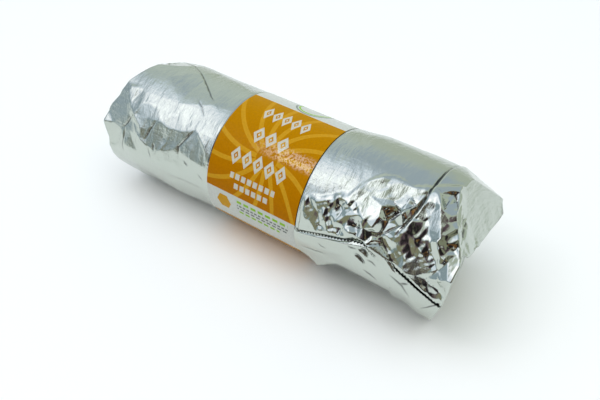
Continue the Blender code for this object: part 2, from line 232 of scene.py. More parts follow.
# Corners of the crumpled foil's big folds: s, phi and how far each stands out
FOLD_CORNERS = {
    # foot of the smooth highlight
    "a1": (0.411, 34.4, 0.006), "a2": (0.457, 38.2, 0.011), "a3": (0.518, 37.8, 0.016),
    "a4": (0.573, 40.4, 0.019), "a5": (0.641, 46.0, 0.012), "a6": (0.719, 44.2, 0.013),
    "a7": (0.783, 40.1, 0.016), "a8": (0.830, 38.4, 0.021),
    # first row of facets next to the band
    "b1": (0.426, 26.8, 0.005), "b2": (0.500, 27.1, 0.006), "b3": (0.576, 34.1, 0.009),
    "b4": (0.656, 30.7, 0.005), "b5": (0.712, 35.9, -0.005),
    # second row
    "c1": (0.461, 17.6, 0.012), "c2": (0.526, 18.4, 0.013), "c3": (0.675, 18.8, 0.021),
    "c4": (0.744, 18.0, 0.016), "c6": (0.743, 33.4, 0.010), "c7": (0.845, 29.5, 0.003),
    "c8": (0.760, 26.2, 0.011), "c9": (0.690, 26.0, 0.012),
    # their right end
    "d1": (0.900, 30.9, 0.016), "d2": (0.836, 25.0, 0.032), "d3": (0.947, 22.1, 0.039),
    # cut edge of the sheet
    "s1": (0.447, 5.9, 0.029), "s2": (0.573, 11.1, 0.028), "s3": (0.671, 13.6, 0.024),
    "s4": (0.777, 16.8, 0.026), "s5": (0.851, 17.8, -0.002),
    # facets in the middle
    "f0": (0.957, 34.6, 0.022), "f1": (0.908, 37.6, 0.020), "f2": (0.972, 43.7, 0.021),
    "f3": (1.011, 32.0, -0.026), "f4": (1.024, 42.9, -0.028), "f5": (1.082, 53.6, -0.030),
    "f6": (1.131, 44.3, -0.015), "f7": (0.994, 32.2, -0.012), "f8": (1.006, 26.6, 0.006),
    # sheet edge over the right part
    "g0": (1.089, 67.4, -0.004), "g1": (1.157, 61.9, -0.010), "g2": (1.190, 74.4, 0.012),
    "g3": (1.204, 81.4, 0.018), "g4": (1.144, 43.3, -0.009),
    # bright upright facets
    "h1": (1.249, 58.1, -0.021), "h2": (1.165, 55.0, -0.015), "h3": (1.181, 67.3, -0.006),
    "h4": (1.292, 69.2, 0.033), "h5": (1.382, 48.5, -0.001), "h6": (1.230, 40.6, -0.017),
    "h8": (1.235, 76.5, 0.029),
    # dark facets below them
    "i1": (1.235, 32.7, -0.021), "i2": (1.375, 33.8, -0.029), "i3": (1.326, 30.2, -0.025),
    "i4": (1.368, 45.4, 0.002), "i5": (1.481, 34.4, -0.010), "i6": (1.416, 36.4, -0.003),
    "i7": (1.323, 43.2, -0.022),
    # dark end facets
    "j1": (1.458, 55.0, -0.029), "j2": (1.487, 45.9, -0.030), "j3": (1.465, 41.4, -0.023),
    "j4": (1.537, 38.2, -0.023), "j5": (1.391, 58.8, -0.008),
    # broad pale facet
    "k1": (1.205, 22.8, -0.012), "k2": (1.440, 25.4, -0.016), "k3": (1.284, 12.0, 0.010),
    "k4": (1.240, 14.1, 0.016),
    # facets at the ear
    "l1": (1.525, 23.0, 0.026), "l2": (1.380, 14.9, -0.012), "l3": (1.448, 11.8, -0.014),
    "l4": (1.470, 2.5, 0.010), "l5": (1.550, 8.2, -0.003),
    # ear's ridge
    "m1": (1.047, 25.4, -0.023), "m2": (1.146, 16.3, -0.002), "m3": (1.152, 32.3, -0.018),
    "m4": (1.357, 7.6, 0.011),
    # upper right facets
    "n1": (1.377, 87.7, 0.056), "n2": (1.312, 84.6, 0.031), "n3": (1.353, 79.9, -0.023),
    "n4": (1.374, 65.9, 0.000), "n5": (1.326, 66.2, 0.020),
    # low folds left of the sheet edge
    "u1": (0.910, 68.3, -0.001), "u2": (0.994, 72.2, 0.007), "u3": (1.073, 73.7, 0.007),
    "u4": (1.171, 75.4, 0.009), "u5": (1.146, 62.8, -0.007), "u6": (1.039, 64.1, -0.009),
    "u7": (0.939, 77.1, 0.012), "u8": (0.869, 72.2, 0.014),
    # scratched patch in the highlight
    "v1": (0.850, 54.8, 0.003), "v2": (0.956, 51.7, 0.010), "v3": (0.791, 64.1, 0.009),
    # low folds between them
    "w1": (1.004, 59.0, -0.012), "w2": (1.087, 64.8, -0.006), "w3": (1.097, 52.9, 0.019),
    # low folds right of the sheet edge
    "x1": (1.251, 77.5, 0.019), "x2": (1.333, 83.8, 0.006), "x3": (1.321, 71.4, -0.009),
    "x4": (1.407, 70.5, 0.001), "x5": (1.230, 71.8, 0.018),
}
FOLD_LINES = (
    "a1 a2 a3 a4 a5 a6 a7 a8 f1 f2 f4 f5", "b1 b2 b3 b4 b5 c6 c7 d1", "c1 c2 c3 c4 s4",
    "s1 s2 s3 s4 s5 d3 f8 m1", "a1 b1 c1 s1", "a2 b2 c2 s2", "a4 b3 c3 s3", "a5 b5 a7", "b4 c9 c4",
    "c9 c8 d2 s5", "c6 c8 c7", "a8 d1 d3", "f1 d1 f0 f7", "d1 f7 f8", "f2 f0", "f7 f3 f4",
    "f3 f6 g1 g2 g3", "f3 g4 f6", "g4 m3 i1 i3 i2", "m1 m3", "g4 h1 h3 g2", "g1 h2 h1 h4", "g4 h6 h1",
    "h6 i7 i1", "h3 h4 h5 i7", "g2 h8 h4", "i7 i2 i6 i4 h5", "i4 i5 i6", "h5 j3 i5 j4 j2 j3",
    "j2 j1 j5 h4", "h5 j5", "m1 m2 k4 m4 l4 l5", "m2 k1 i3", "k1 k4 k3 k2 k1", "i3 k2 i5", "k3 l2 l1 k2",
    "l2 l3 l1 l5", "k4 l2", "m4 l3 l4", "l1 i5", "g3 n2 n1 n3 n4 j5", "n2 n5 n4", "n5 n3", "n5 h4",
    "g0 g1", "g0 g2", "g0 f5", "f2 f4 w3 f5 u5", "v1 v2 f4", "v1 w1 v2", "v3 v1", "u1 u2 u3 u4",
    "u1 u6 w2 u5", "u8 u7 u2", "u8 u1", "v3 u8", "w1 u6", "w1 w3", "u5 u4", "h8 x1 x2 n3", "x1 x3 n3",
    "x3 x4 n4", "h4 x1", "h4 x3", "h3 x5 h8", "x5 h4",
)

# Corners of the softer folds on the left part, and where those lie
LEFT_CORNERS = {
    # flat face at the tucked end
    "a1": (-1.342, 56.5, 0.009), "a2": (-1.281, 43.3, -0.003), "a3": (-1.266, 34.1, -0.012),
    "a4": (-1.206, 27.8, -0.018), "a5": (-1.213, 17.6, -0.013), "a6": (-1.317, 14.8, -0.014),
    "a7": (-1.419, 17.2, -0.021),
    # bright creases beside it
    "m1": (-1.177, 64.8, 0.002), "m2": (-1.084, 49.9, 0.006), "m3": (-1.146, 47.4, 0.006),
    "m4": (-1.212, 36.2, 0.002), "m5": (-1.102, 26.6, 0.006),
    # middle of the highlight
    "h1": (-0.954, 53.9, -0.001), "h2": (-0.802, 53.7, -0.003), "h3": (-0.643, 57.7, 0.000),
    "h4": (-0.504, 57.1, -0.001), "h5": (-0.454, 44.2, 0.002),
    # foot of the highlight
    "c1": (-0.989, 47.3, 0.004), "c2": (-0.926, 39.4, 0.013), "c3": (-0.839, 36.8, 0.007),
    "c4": (-0.724, 38.9, 0.009), "c5": (-0.602, 45.0, 0.007), "c6": (-0.531, 39.1, 0.000),
    "c7": (-0.458, 33.3, 0.002), "c8": (-0.421, 26.0, -0.001),
    # darker facets under it
    "d1": (-0.986, 28.7, 0.000), "d2": (-1.037, 19.9, 0.002), "d3": (-1.071, 36.4, 0.002),
    "d4": (-0.849, 25.1, -0.008), "d6": (-0.666, 31.4, 0.001), "d7": (-0.583, 27.8, 0.001),
    "d8": (-0.488, 36.4, 0.004), "d9": (-0.507, 24.8, -0.002),
    # where the mirrored floor begins
    "e2": (-1.073, 15.9, 0.013), "e3": (-0.986, 13.0, 0.010), "e4": (-0.923, 13.9, 0.011),
    "e5": (-0.838, 15.6, 0.005), "e6": (-0.757, 20.0, 0.002), "e7": (-0.702, 21.4, 0.000),
    "e8": (-0.569, 19.4, 0.007), "e9": (-0.469, 18.4, 0.005), "e10": (-0.414, 19.1, 0.003),
    # low front
    "f1": (-1.248, 3.2, 0.013), "f2": (-1.099, 1.7, 0.004), "f3": (-0.902, 3.7, 0.017),
    "f4": (-0.760, 6.5, 0.003), "f5": (-0.618, 4.9, -0.004), "f6": (-0.475, 4.2, 0.002),
    # rest of the roll round them
    "p1": (-1.270, 62.0, 0.000), "p2": (-1.120, 64.0, 0.000), "p3": (-0.970, 62.0, 0.000),
    "p4": (-0.820, 60.0, 0.000), "p5": (-0.670, 58.0, 0.000), "p6": (-0.540, 56.0, 0.000),
    "p7": (-0.430, 54.0, 0.000),
    "q1": (-1.420, -12.0, 0.000), "q2": (-1.270, -10.0, 0.000), "q3": (-1.100, -8.0, 0.000),
    "q4": (-0.950, -8.0, 0.000), "q5": (-0.800, -8.0, 0.000), "q6": (-0.650, -8.0, 0.000),
    "q7": (-0.500, -8.0, 0.000),
    "r1": (-1.560, 62.0, -0.060), "r2": (-1.560, 45.0, -0.072), "r3": (-1.560, 30.0, -0.054),
    "r4": (-1.560, 15.0, 0.000), "r5": (-1.560, 0.0, 0.000), "r6": (-1.560, -12.0, 0.000),
    "t1": (-0.405, 40.0, 0.000), "t2": (-0.405, 26.0, 0.000), "t3": (-0.405, 10.0, 0.000),
    "t4": (-0.405, -6.0, 0.000), "t5": (-0.405, 54.0, 0.000),
}
LEFT_LINES = (
    "a1 a2 a3 a4 a5 a6 a7 r4", "a1 p1", "m4 m3 m2 c1", "m4 m5", "a4 m5", "a2 m4 a4", "m5 d2 e2",
    "a5 e2 e3 e4 e5 e6 e7 e8 e9 e10", "c1 c2 c3 c4 c5 c6 c7 c8 e10", "m2 h1 h2 h3 h4", "c5 h5",
    "m2 d3 d1", "c1 c2 d1 d2", "c2 d4 e5", "c3 d4 d6", "c5 d6 e7", "c5 d8 c7", "d6 d7 e8", "c6 d7",
    "d8 d9 e9", "d9 c7", "a1 m1 m2", "m1 h1", "f1 f2 f3 f4 f5 f6", "a5 f1", "e3 f3", "e7 f5", "e9 f6",
)
LEFT_EDGE_LOW = {-1.6: -12, -0.4: -8}
LEFT_EDGE_HIGH = {-1.6: 66, -1.2: 62, -0.9: 55, -0.6: 55, -0.4: 53}
LEFT_FADES = ((0.0, 8.0), (-9.0, 0.0))
LEFT_ROUNDING = 0.010

# Finer folds over those, long shards: spacing, height in the crumpled foil, height in the smooth
# foil, seed, the way they run in degrees, and how much their length is squeezed to the spacing
FINE_FOLDS = (
    (0.055, 0.0100, 0.0012, 21, 35.0, 0.50),
    (0.026, 0.0054, 0.0005, 22, -30.0, 0.60),
)
RELIEF_NEAR_BAND = (WAIST_EDGE, WAIST_EDGE + 0.03)      # from here to there all relief grows

# Their height on the tucked and the crumpled end, as a multiple of that in the smooth foil
END_FOLDS, END_SEED = (7.0, 2.5), 5

# Patches in which they stand out more: how close, seed, contrast, and their least and added height
PATCHES, PATCH_SEED, PATCH_EDGE, PATCH_SHARES = 7.0, 5.0, (-0.35, 0.35), (0.40, 0.70)

# Where the foil keeps its big folds but few fine ones: above this line, by place along the roll, and
# at these places (s, phi, reach)
CALM_FROM = {0.41: 36, 0.46: 40, 0.57: 42, 0.64: 48, 0.72: 46, 0.83: 41, 0.95: 47, 1.08: 56, 1.14: 62}
CALM_PLACES = ((1.31, 18.0, 0.11), (1.20, 62.0, 0.08), (1.31, 58.0, 0.08))
CALM_FADE, CALM_END = (0.0, 7.0), (1.10, 1.18)
CALMER_FOLDS, CALMER_LOOK = 0.5, 0.7        # how much lower those are, and how much smoother it looks

# How far a point lies below its neighbours where a crease's painted shade begins, and where it is darkest
CREASE_DEPTH = (0.0020, 0.0055)

# Short wrinkles round the smooth foil: how close along and round the roll, height and seed
WRINKLES = ((22.0, 5.0, 0.0040, 3.0), (48.0, 11.0, 0.0012, 9.0))
WRINKLE_SLANT = 0.12

# How strong they are, by side of the band: everywhere, and more round a middle, with its half width
WRINKLED = ((-1.0, 0.10, 0.8, 52, 22), (1.0, 0.12, 0.6, 62, 32))
WRINKLED_BACK = 0.45
WRINKLES_SINK = (0.5, (0.9, 1.4))           # by how much, and where, towards the tucked end

# Edges where one sheet lies over the next: step height, and places (s, phi), the upper on the left.
# The upper one rises over a reach, the lower one is undercut, and both sink towards the line's ends
EDGE_REACH, EDGE_UNDERCUT, EDGE_ENDS, LINE_ENDS = 0.16, 0.011, (0.04, 0.4), (0.03, 0.6)
SHEET_EDGES = (
    (0.0110, ((1.24, 180), (1.215, 136), (1.199, 118), (1.190, 107), (1.186, 98), (1.185, 86), (1.185, 75),
              (1.173, 62), (1.155, 52), (1.136, 44))),
    (0.0050, ((1.13, 46), (1.07, 38), (1.02, 31))),
    (0.0055, ((-0.60, 75), (-0.66, 79), (-0.75, 87), (-0.84, 95), (-0.94, 103), (-1.08, 112), (-1.3, 130))),
)
# Sharp valleys: depth, width and places
VALLEYS = (
    (0.015, 0.007, ((1.222, 140.0), (1.201, 118.0), (1.192, 107.0), (1.188, 98.0), (1.188, 86.0),
                    (1.188, 75.0), (1.176, 62.5), (1.157, 52.0), (1.138, 44.0), (1.118, 41.5))),
    (0.008, 0.006, ((-0.598, 44.5), (-0.663, 33.2), (-0.707, 25.2), (-0.69, 18.0))),
    (0.006, 0.006, ((-0.955, 40.0), (-1.002, 29.0), (-1.029, 17.4))),
    (0.006, 0.004, ((-0.74, 72.0), (-0.655, 65.5), (-0.585, 57.0))),
    (0.007, 0.007, ((-1.283, 20.0), (-1.269, 10.7), (-1.283, 3.0), (-1.286, -8.0))),
    (0.007, 0.007, ((-1.225, 33.0), (-1.255, 24.5), (-1.295, 17.5))),
    (0.006, 0.006, ((-0.944, 18.5), (-0.931, 12.5))),
    (0.006, 0.006, ((-0.995, 13.5), (-0.955, 3.0))),
    (0.006, 0.007, ((-0.65, 15.5), (-0.591, 11.5))),
    (0.005, 0.005, ((-0.50, 10.0), (-0.44, 4.0))),
    (0.005, 0.006, ((0.425, -13.6), (0.511, -10.7), (0.580, -9.2), (0.622, -7.7), (0.671, -9.0))),
    (0.004, 0.006, ((0.60, 3.4), (0.632, 1.2), (0.68, 1.2))),
    (0.003, 0.006, ((0.824, 14.0), (0.857, 13.2), (0.902, 14.0))),
    (0.014, 0.012, ((0.910, 15.4), (0.949, 14.9), (0.985, 12.0))),
    (0.004, 0.008, ((0.963, 17.5), (0.993, 17.4), (1.040, 13.8))),
    (0.014, 0.012, ((0.880, 9.6), (0.915, 8.2), (0.944, 6.2), (0.974, 3.1))),
    (0.004, 0.008, ((0.971, 8.9), (1.017, 8.8), (1.057, 6.6))),
    (0.002, 0.010, ((1.14, 6.2), (1.202, 3.4), (1.248, 1.4), (1.329, -9.9))),
    (0.002, 0.010, ((1.233, 2.4), (1.293, 5.7))),
    (0.002, 0.010, ((0.951, -1.9), (1.013, -4.1), (1.075, -7.7))),
    (0.004, 0.006, ((1.372, -17.7), (1.469, -4.8), (1.529, 3.4))),
)
# Sharp ridges: height, width and places
RIDGES = (
    (0.007, 0.016, ((-1.147, 49.0), (-1.199, 35.2), (-1.117, 28.2), (-1.075, 22.0))),
    (0.006, 0.016, ((-0.598, 46.0), (-0.526, 40.2), (-0.45, 32.0), (-0.42, 22.0))),
    (0.004, 0.012, ((-1.198, 27.0), (-1.139, 19.9), (-1.039, 14.6), (-0.99, 10.0))),
    (0.004, 0.014, ((-0.968, -1.0), (-0.874, 14.6), (-0.83, 24.0), (-0.82, 40.0))),
    (0.003, 0.012, ((-1.27, 57.0), (-1.27, 42.8), (-1.27, 30.0))),
    (0.004, 0.030, ((1.05, 14.0), (1.13, 2.0), (1.20, -14.0))),
    (0.004, 0.030, ((1.20, 4.0), (1.30, -8.0), (1.38, -24.0))),
    (0.003, 0.025, ((0.75, 8.0), (0.84, -2.0), (0.90, -16.0))),
)

# Fine relief of the foil's skin: how many to a millimetre along and round the roll, detail,
# roughness, and depth in metres
FOIL_GRAIN = (
    (0.55, 0.16, 5.0, 0.62, 0.00022),       # small wrinkles round the roll
    (0.13, 0.90, 4.0, 0.60, 0.00005),       # long scratches that cross them
    (1.70, 0.40, 3.0, 0.60, 0.00007),       # finer wrinkles
    (0.50, 1.40, 3.0, 0.60, 0.00003),       # short scratches
    (3.20, 0.22, 2.0, 0.50, 0.000018),      # rolling mill's lines, drawn coarse so that they show
)

# The outer sheet over the foot of the crumpled foil, by place along the roll: where its saw-cut top
# and its torn foot run, how high it lies, how much it curls in at the cut, and its gap's painted shade
SHEET_TOP = {0.405: 4.4, 0.447: 5.5, 0.573: 10.7, 0.671: 13.2, 0.777: 16.4, 0.852: 18.4, 0.912: 19.6,
             0.951: 19.6, 0.975: 23.5, 1.015: 25.0, 1.044: 23.5, 1.073: 21.0, 1.118: 17.6, 1.145: 15.3,
             1.165: 13.0, 1.220: 10.9, 1.298: 7.5, 1.375: 3.9, 1.457: 0.5, 1.560: -3.0}
SHEET_FOOT = {0.405: -19.8, 0.432: -20.5, 0.474: -21.2, 0.507: -22.6, 0.521: -25.7, 0.546: -26.4,
              0.567: -30.1, 0.615: -25.4, 0.672: -19.0, 0.745: -13.0, 1.170: -14.5, 1.215: -55.0}
SHEET_RISE = {0.405: 0.008, 0.447: 0.014, 0.573: 0.024, 0.777: 0.024, 0.86: 0.006, 1.0: 0.0}
SHEET_CURL = {0.40: 0.4, 0.50: 1.0, 0.93: 1.0, 1.16: 0.8, 1.20: 0.1, 1.53: 0.1}
CUT_SHADE = {0.40: 0.7, 0.60: 0.5, 1.00: 0.6, 1.17: 0.95}
SHEET_START, SHEET_STEPS, SHEET_CROWDING = 0.405, (320, 44), 1.8      # its rows crowd at the cut
TOOTH_PITCH, TOOTH_DEPTH = 0.0233, 0.011
SHEET_THICKNESS, SHEET_CRISP = 0.0020, 60.0     # thicker than real foil, so that its edge shows
SHEET_LIFT, CURL_WIDTH = 0.010, 0.022
RIM_CLEAR, LINES_CLEAR = 0.003, (0.0, 0.02)     # it keeps off the rim, and its cut off the fine lines
RISE_FADE = (0.03, 0.18)                        # how far below the cut it still lies high
SLIP_UNDER = (0.012, (-40.0, -52.0))            # how deep it slips under the roll, and where
CORNER_TANGENT, CORNER_RADIUS = -12.0, 0.508    # its loose corner hangs flat from this angle
CORNER_END, CORNER_TOP = (0.72, 0.80), (-9.0, -15.0)

# The shade it casts: how far into the gap over its cut, and how dark, how far and where at its foot
GAP_REACH = 0.005
FOOT_SHADE, FOOT_REACH, FOOT_STRETCH = 0.75, (4.0, 26.0), ((0.60, 0.72), (1.14, 1.20))

# The paper band: steps along and round it, turns it is wound, where it starts, the lap glued under
# its end (how far that goes, and how many thicknesses down), and the angle from which edges are crisp
BAND_STEPS = (16, 220)
BAND_TURNS, BAND_START = 1.06, 196.0
LAP_STRETCH, LAP_DEPTH, BAND_CRISP = (24.0, 36.0), 1.35, 40.0


def linear(hex_colour):
    """An sRGB hex colour as the linear values that shaders take."""
    parts = [int(hex_colour[i:i + 2], 16) / 255 for i in (1, 3, 5)]
    return tuple(c / 12.92 if c <= 0.04045 else ((c + 0.055) / 1.055) ** 2.4 for c in parts)


def blend(low, high, value):
    """0 below low, 1 above high, and smooth between them."""
    part = np.clip((value - low) / (high - low), 0.0, 1.0)
    return part * part * (3.0 - 2.0 * part)


def falling(high, low, value):
    """0 above high, 1 below low, and smooth between them."""
    return 1.0 - blend(low, high, value)


def within(value, rise, fall):
    """1 between two stretches, growing over the first and lessening over the second."""
    return blend(*rise, value) * (1.0 - blend(*fall, value))


def by_angle(table, phi):
    """A value read round the roll from a table by angle."""
    return np.interp(phi, sorted(table), [table[key] for key in sorted(table)], period=360.0)


def along(table, s):
    """A value read along the roll from a table by place."""
    return np.interp(s, sorted(table), [table[key] for key in sorted(table)])


def near_angle(phi, middle, half_width):
    """1 at an angle round the roll, falling smoothly to 0 at half_width from it."""
    away = np.abs((phi - middle + 180.0) % 360.0 - 180.0)
    return 1.0 - blend(0.0, half_width, away)


def smooth_radius(s, phi):
    """The roll's radius without its crumples."""
    radius = np.full_like(s, FOIL_RADIUS)
    for height, rise, fall, middle, half_width in SWELLS:
        radius += height * within(s, rise, fall) * near_angle(phi, middle, half_width)
    taper, taper_stretch = LEFT_TAPER
    radius -= taper * blend(*taper_stretch, -s)
    dent, dent_stretch, dent_foot, dent_top = LEFT_DENT
    radius -= dent * blend(*dent_stretch, -s) * within(phi, dent_foot, dent_top)
    waist = BAND_RADIUS - PAPER - GAP
    under_band = 1.0 - blend(WAIST_FOOT, WAIST_EDGE, np.abs(s))
    return radius + (waist - radius) * under_band


def on_roll(s, phi, radius):
    """Points at s, phi and radius, as rows of x, y and z in roll units."""
    angle = np.radians(phi)
    return np.stack([s, -radius * np.cos(angle), radius * np.sin(angle)], axis=-1)


def named_folds(corners, lines):
    """The named corners as points, and the folded lines between them as links."""
    names = list(corners)
    links = [(names.index(start), names.index(end)) for line in lines
             for start, end in zip(line.split()[:-1], line.split()[1:])]
    return list(corners.values()), links


def scattered_folds(spacing, height, seed, s_range, phi_range, named=(), clear=0.55):
    """The named points, with scattered ones that keep clear of those and of each other. With none
    named, only those of the last two rows can come near."""
    rng = random.Random(seed)
    points = list(named)
    rows = round((phi_range[1] - phi_range[0]) * ARC / spacing)
    columns = round((s_range[1] - s_range[0]) / spacing)
    for row in range(rows + 1):
        for column in range(columns + 1):
            s = s_range[0] + (column + rng.uniform(-STRAY, STRAY) + 0.5 * (row % 2)) * spacing
            phi = phi_range[0] + (row + rng.uniform(-STRAY, STRAY)) * spacing / ARC
            rise = rng.uniform(-1.0, 1.0) * height
            nearby = points if named else points[-2 * columns - 4:]
            if all(math.hypot(s - p[0], (phi - p[1]) * ARC) > clear * spacing for p in nearby):
                points.append((s, phi, rise))
    return points


def facets(u, v, corners, links):
    """For points at u, v: the three corners of the facet under each, and their weights."""
    flat = [Vector((c[0], c[1])) for c in corners]
    verts, _, faces, origins, _, _ = delaunay_2d_cdt(flat, links, [], 0, 1e-5)
    place = np.array([(p[0], p[1]) for p in verts])
    rise = np.array([sum(corners[o][2] for o in old) / len(old) if old else 0.0 for old in origins])
    owner = np.full((len(u), 3), -1, dtype=int)
    weight = np.zeros((len(u), 3))
    order = np.argsort(u)
    ordered = u[order]
    for face in faces:
        a, b, c = place[list(face)]
        first = np.searchsorted(ordered, min(a[0], b[0], c[0]))
        last = np.searchsorted(ordered, max(a[0], b[0], c[0]), side="right")
        pick = order[first:last]
        pick = pick[(v[pick] >= min(a[1], b[1], c[1])) & (v[pick] <= max(a[1], b[1], c[1]))]
        if not len(pick):
            continue
        area = (b[0] - a[0]) * (c[1] - a[1]) - (c[0] - a[0]) * (b[1] - a[1])
        weight_b = ((u[pick] - a[0]) * (c[1] - a[1]) - (c[0] - a[0]) * (v[pick] - a[1])) / area
        weight_c = ((b[0] - a[0]) * (v[pick] - a[1]) - (u[pick] - a[0]) * (b[1] - a[1])) / area
        inside = (weight_b >= -1e-9) & (weight_c >= -1e-9) & (weight_b + weight_c <= 1.0 + 1e-9)
        owner[pick[inside]] = face
        weight[pick[inside]] = np.stack([1.0 - weight_b - weight_c, weight_b, weight_c], axis=-1)[inside]
    return place, rise, owner, weight


def folded(s, phi, corners, links):
    """Points at s and phi on flat facets that span the fold corners, and where there are facets."""
    flat = [(c[0], c[1] * ARC, c[2]) for c in corners]
    place, rise, owner, weight = facets(s, phi * ARC, flat, links)
    corner_phi = place[:, 1] / ARC
    solid = on_roll(place[:, 0], corner_phi, smooth_radius(place[:, 0], corner_phi) + rise)
    points = on_roll(s, phi, smooth_radius(s, phi))
    covered = owner[:, 0] >= 0
    points[covered] = (weight[covered][:, :, None] * solid[owner[covered]]).sum(axis=1)
    return points, covered


def rounded_folds(s, phi, corners, links, reach):
    """The same facets with their creases rounded: the mean of five places, a reach apart."""
    around = [folded(s + along_roll, phi + round_roll / ARC, corners, links) for along_roll, round_roll
              in ((0.0, 0.0), (reach, 0.0), (-reach, 0.0), (0.0, reach), (0.0, -reach))]
    points, covered = zip(*around)
    return np.mean(points, axis=0), np.all(covered, axis=0)


def along_shards(s, phi, turn, squeeze):
    """Places over the foil, turned and squeezed so that fine folds on them run as long shards."""
    across, turn = phi * ARC, math.radians(turn)
    return (s * math.cos(turn) + across * math.sin(turn),
            (across * math.cos(turn) - s * math.sin(turn)) * squeeze)


def fold_heights(u, v, spacing, height, seed):
    """Height of fine folds over a flat field of points."""
    corners = scattered_folds(spacing, height, seed, (u.min() - spacing, u.max() + spacing),
                              ((v.min() - spacing) / ARC, (v.max() + spacing) / ARC))
    _, rise, owner, weight = facets(u, v, [(c[0], c[1] * ARC, c[2]) for c in corners], [])
    return np.where(owner[:, 0] >= 0, (weight * rise[owner]).sum(axis=1), 0.0)


def between_lines(s, phi, low, high, fades):
    """1 between two lines along the roll, with a fade at each."""
    grow, lessen = fades
    return blend(*grow, phi - along(low, s)) * (1.0 - blend(*lessen, phi - along(high, s)))


def crumple_share(s, phi):
    """1 in the crumpled foil, 0 in the smooth foil."""
    inside = between_lines(s, phi, CRUMPLE_EDGE_LOW, CRUMPLE_EDGE_HIGH, CRUMPLE_FADES)
    return inside * blend(*NEAR_BAND, s)


def calm_share(s, phi):
    """1 where the crumpled foil has few fine folds."""
    calm = blend(*CALM_FADE, phi - along(CALM_FROM, s)) * (1.0 - blend(*CALM_END, s))
    for middle_s, middle_phi, reach in CALM_PLACES:
        away = np.hypot(s - middle_s, (phi - middle_phi) * ARC)
        calm = np.maximum(calm, 1.0 - blend(0.5 * reach, reach, away))
    return calm


def left_share(s, phi):
    """1 on the left part's softer folds, 0 on the rest of the foil."""
    inside = between_lines(s, phi, LEFT_EDGE_LOW, LEFT_EDGE_HIGH, LEFT_FADES)
    return inside * blend(*NEAR_BAND, -s)


def from_line(s, phi, line):
    """Distance of points from a line on the roll, the same with a minus on the line's right, and the
    share along the line."""
    here = np.stack([s, phi * ARC], axis=-1)
    nearest = np.full(s.shape, np.inf)
    signed, share = np.zeros(s.shape), np.zeros(s.shape)
    for i, (start, end) in enumerate(zip(line[:-1], line[1:])):
        a, b = np.array([start[0], start[1] * ARC]), np.array([end[0], end[1] * ARC])
        run = b - a
        t = np.clip(((here - a) @ run) / (run @ run), 0.0, 1.0)
        away = here - a - t[:, None] * run
        distance = np.hypot(away[:, 0], away[:, 1])
        side = np.sign(run[0] * away[:, 1] - run[1] * away[:, 0])
        closer = distance < nearest
        nearest = np.where(closer, distance, nearest)
        signed = np.where(closer, distance * side, signed)
        share = np.where(closer, (i + t) / (len(line) - 1), share)
    return nearest, signed, share


def towards_ends(share, stub, power):
    """1 in the middle of a line, sinking towards its ends, where a stub of it stays."""
    return np.sin(np.pi * np.clip(share, stub, 1.0 - stub)) ** power


def thin_lines(s, phi):
    """Height of the sheet edges, valleys and ridges over the foil, and how deep in one a point is, which sets
    its painted shade.
    """
    rise, depth = np.zeros(s.shape), np.zeros(s.shape)
    for height, line in SHEET_EDGES:
        distance, signed, share = from_line(s, phi, line)
        fade = towards_ends(share, *EDGE_ENDS)
        over = np.where(signed > 0, 1.0 - blend(0.0, EDGE_REACH, distance), 0.0) * fade
        under = np.where(signed <= 0, np.exp(-(distance / EDGE_UNDERCUT) ** 2), 0.0) * fade
        rise += height * (over - under)
        depth = np.maximum(depth, under)
    for fall, width, line in VALLEYS:
        distance, _, share = from_line(s, phi, line)
        inside = np.exp(-(distance / width) ** 2) * towards_ends(share, *LINE_ENDS)
        rise -= fall * inside
        depth = np.maximum(depth, inside)
    for height, width, line in RIDGES:
        distance, _, share = from_line(s, phi, line)
        rise += height * np.exp(-distance / width) * towards_ends(share, *LINE_ENDS)
    return rise, depth


def wrinkles(s, phi):
    """Height of the short wrinkles that run round the smooth foil."""
    amount = np.zeros(s.shape)
    for side, everywhere, more, middle, half_width in WRINKLED:
        amount += (side * s > 0.0) * (everywhere + more * near_angle(phi, middle, half_width))
    less, less_stretch = WRINKLES_SINK
    amount *= 1.0 - less * blend(*less_stretch, -s)
    amount += WRINKLED_BACK * near_angle(phi, *BACK)
    rise = np.zeros(s.shape)
    for along_roll, round_roll, height, seed in WRINKLES:
        places = np.stack([(s + WRINKLE_SLANT * phi * ARC) * along_roll, phi * ARC * round_roll], axis=-1)
        rise -= height * np.array([abs(noise.noise(Vector((x, y, seed)))) for x, y in places])
    return rise * amount


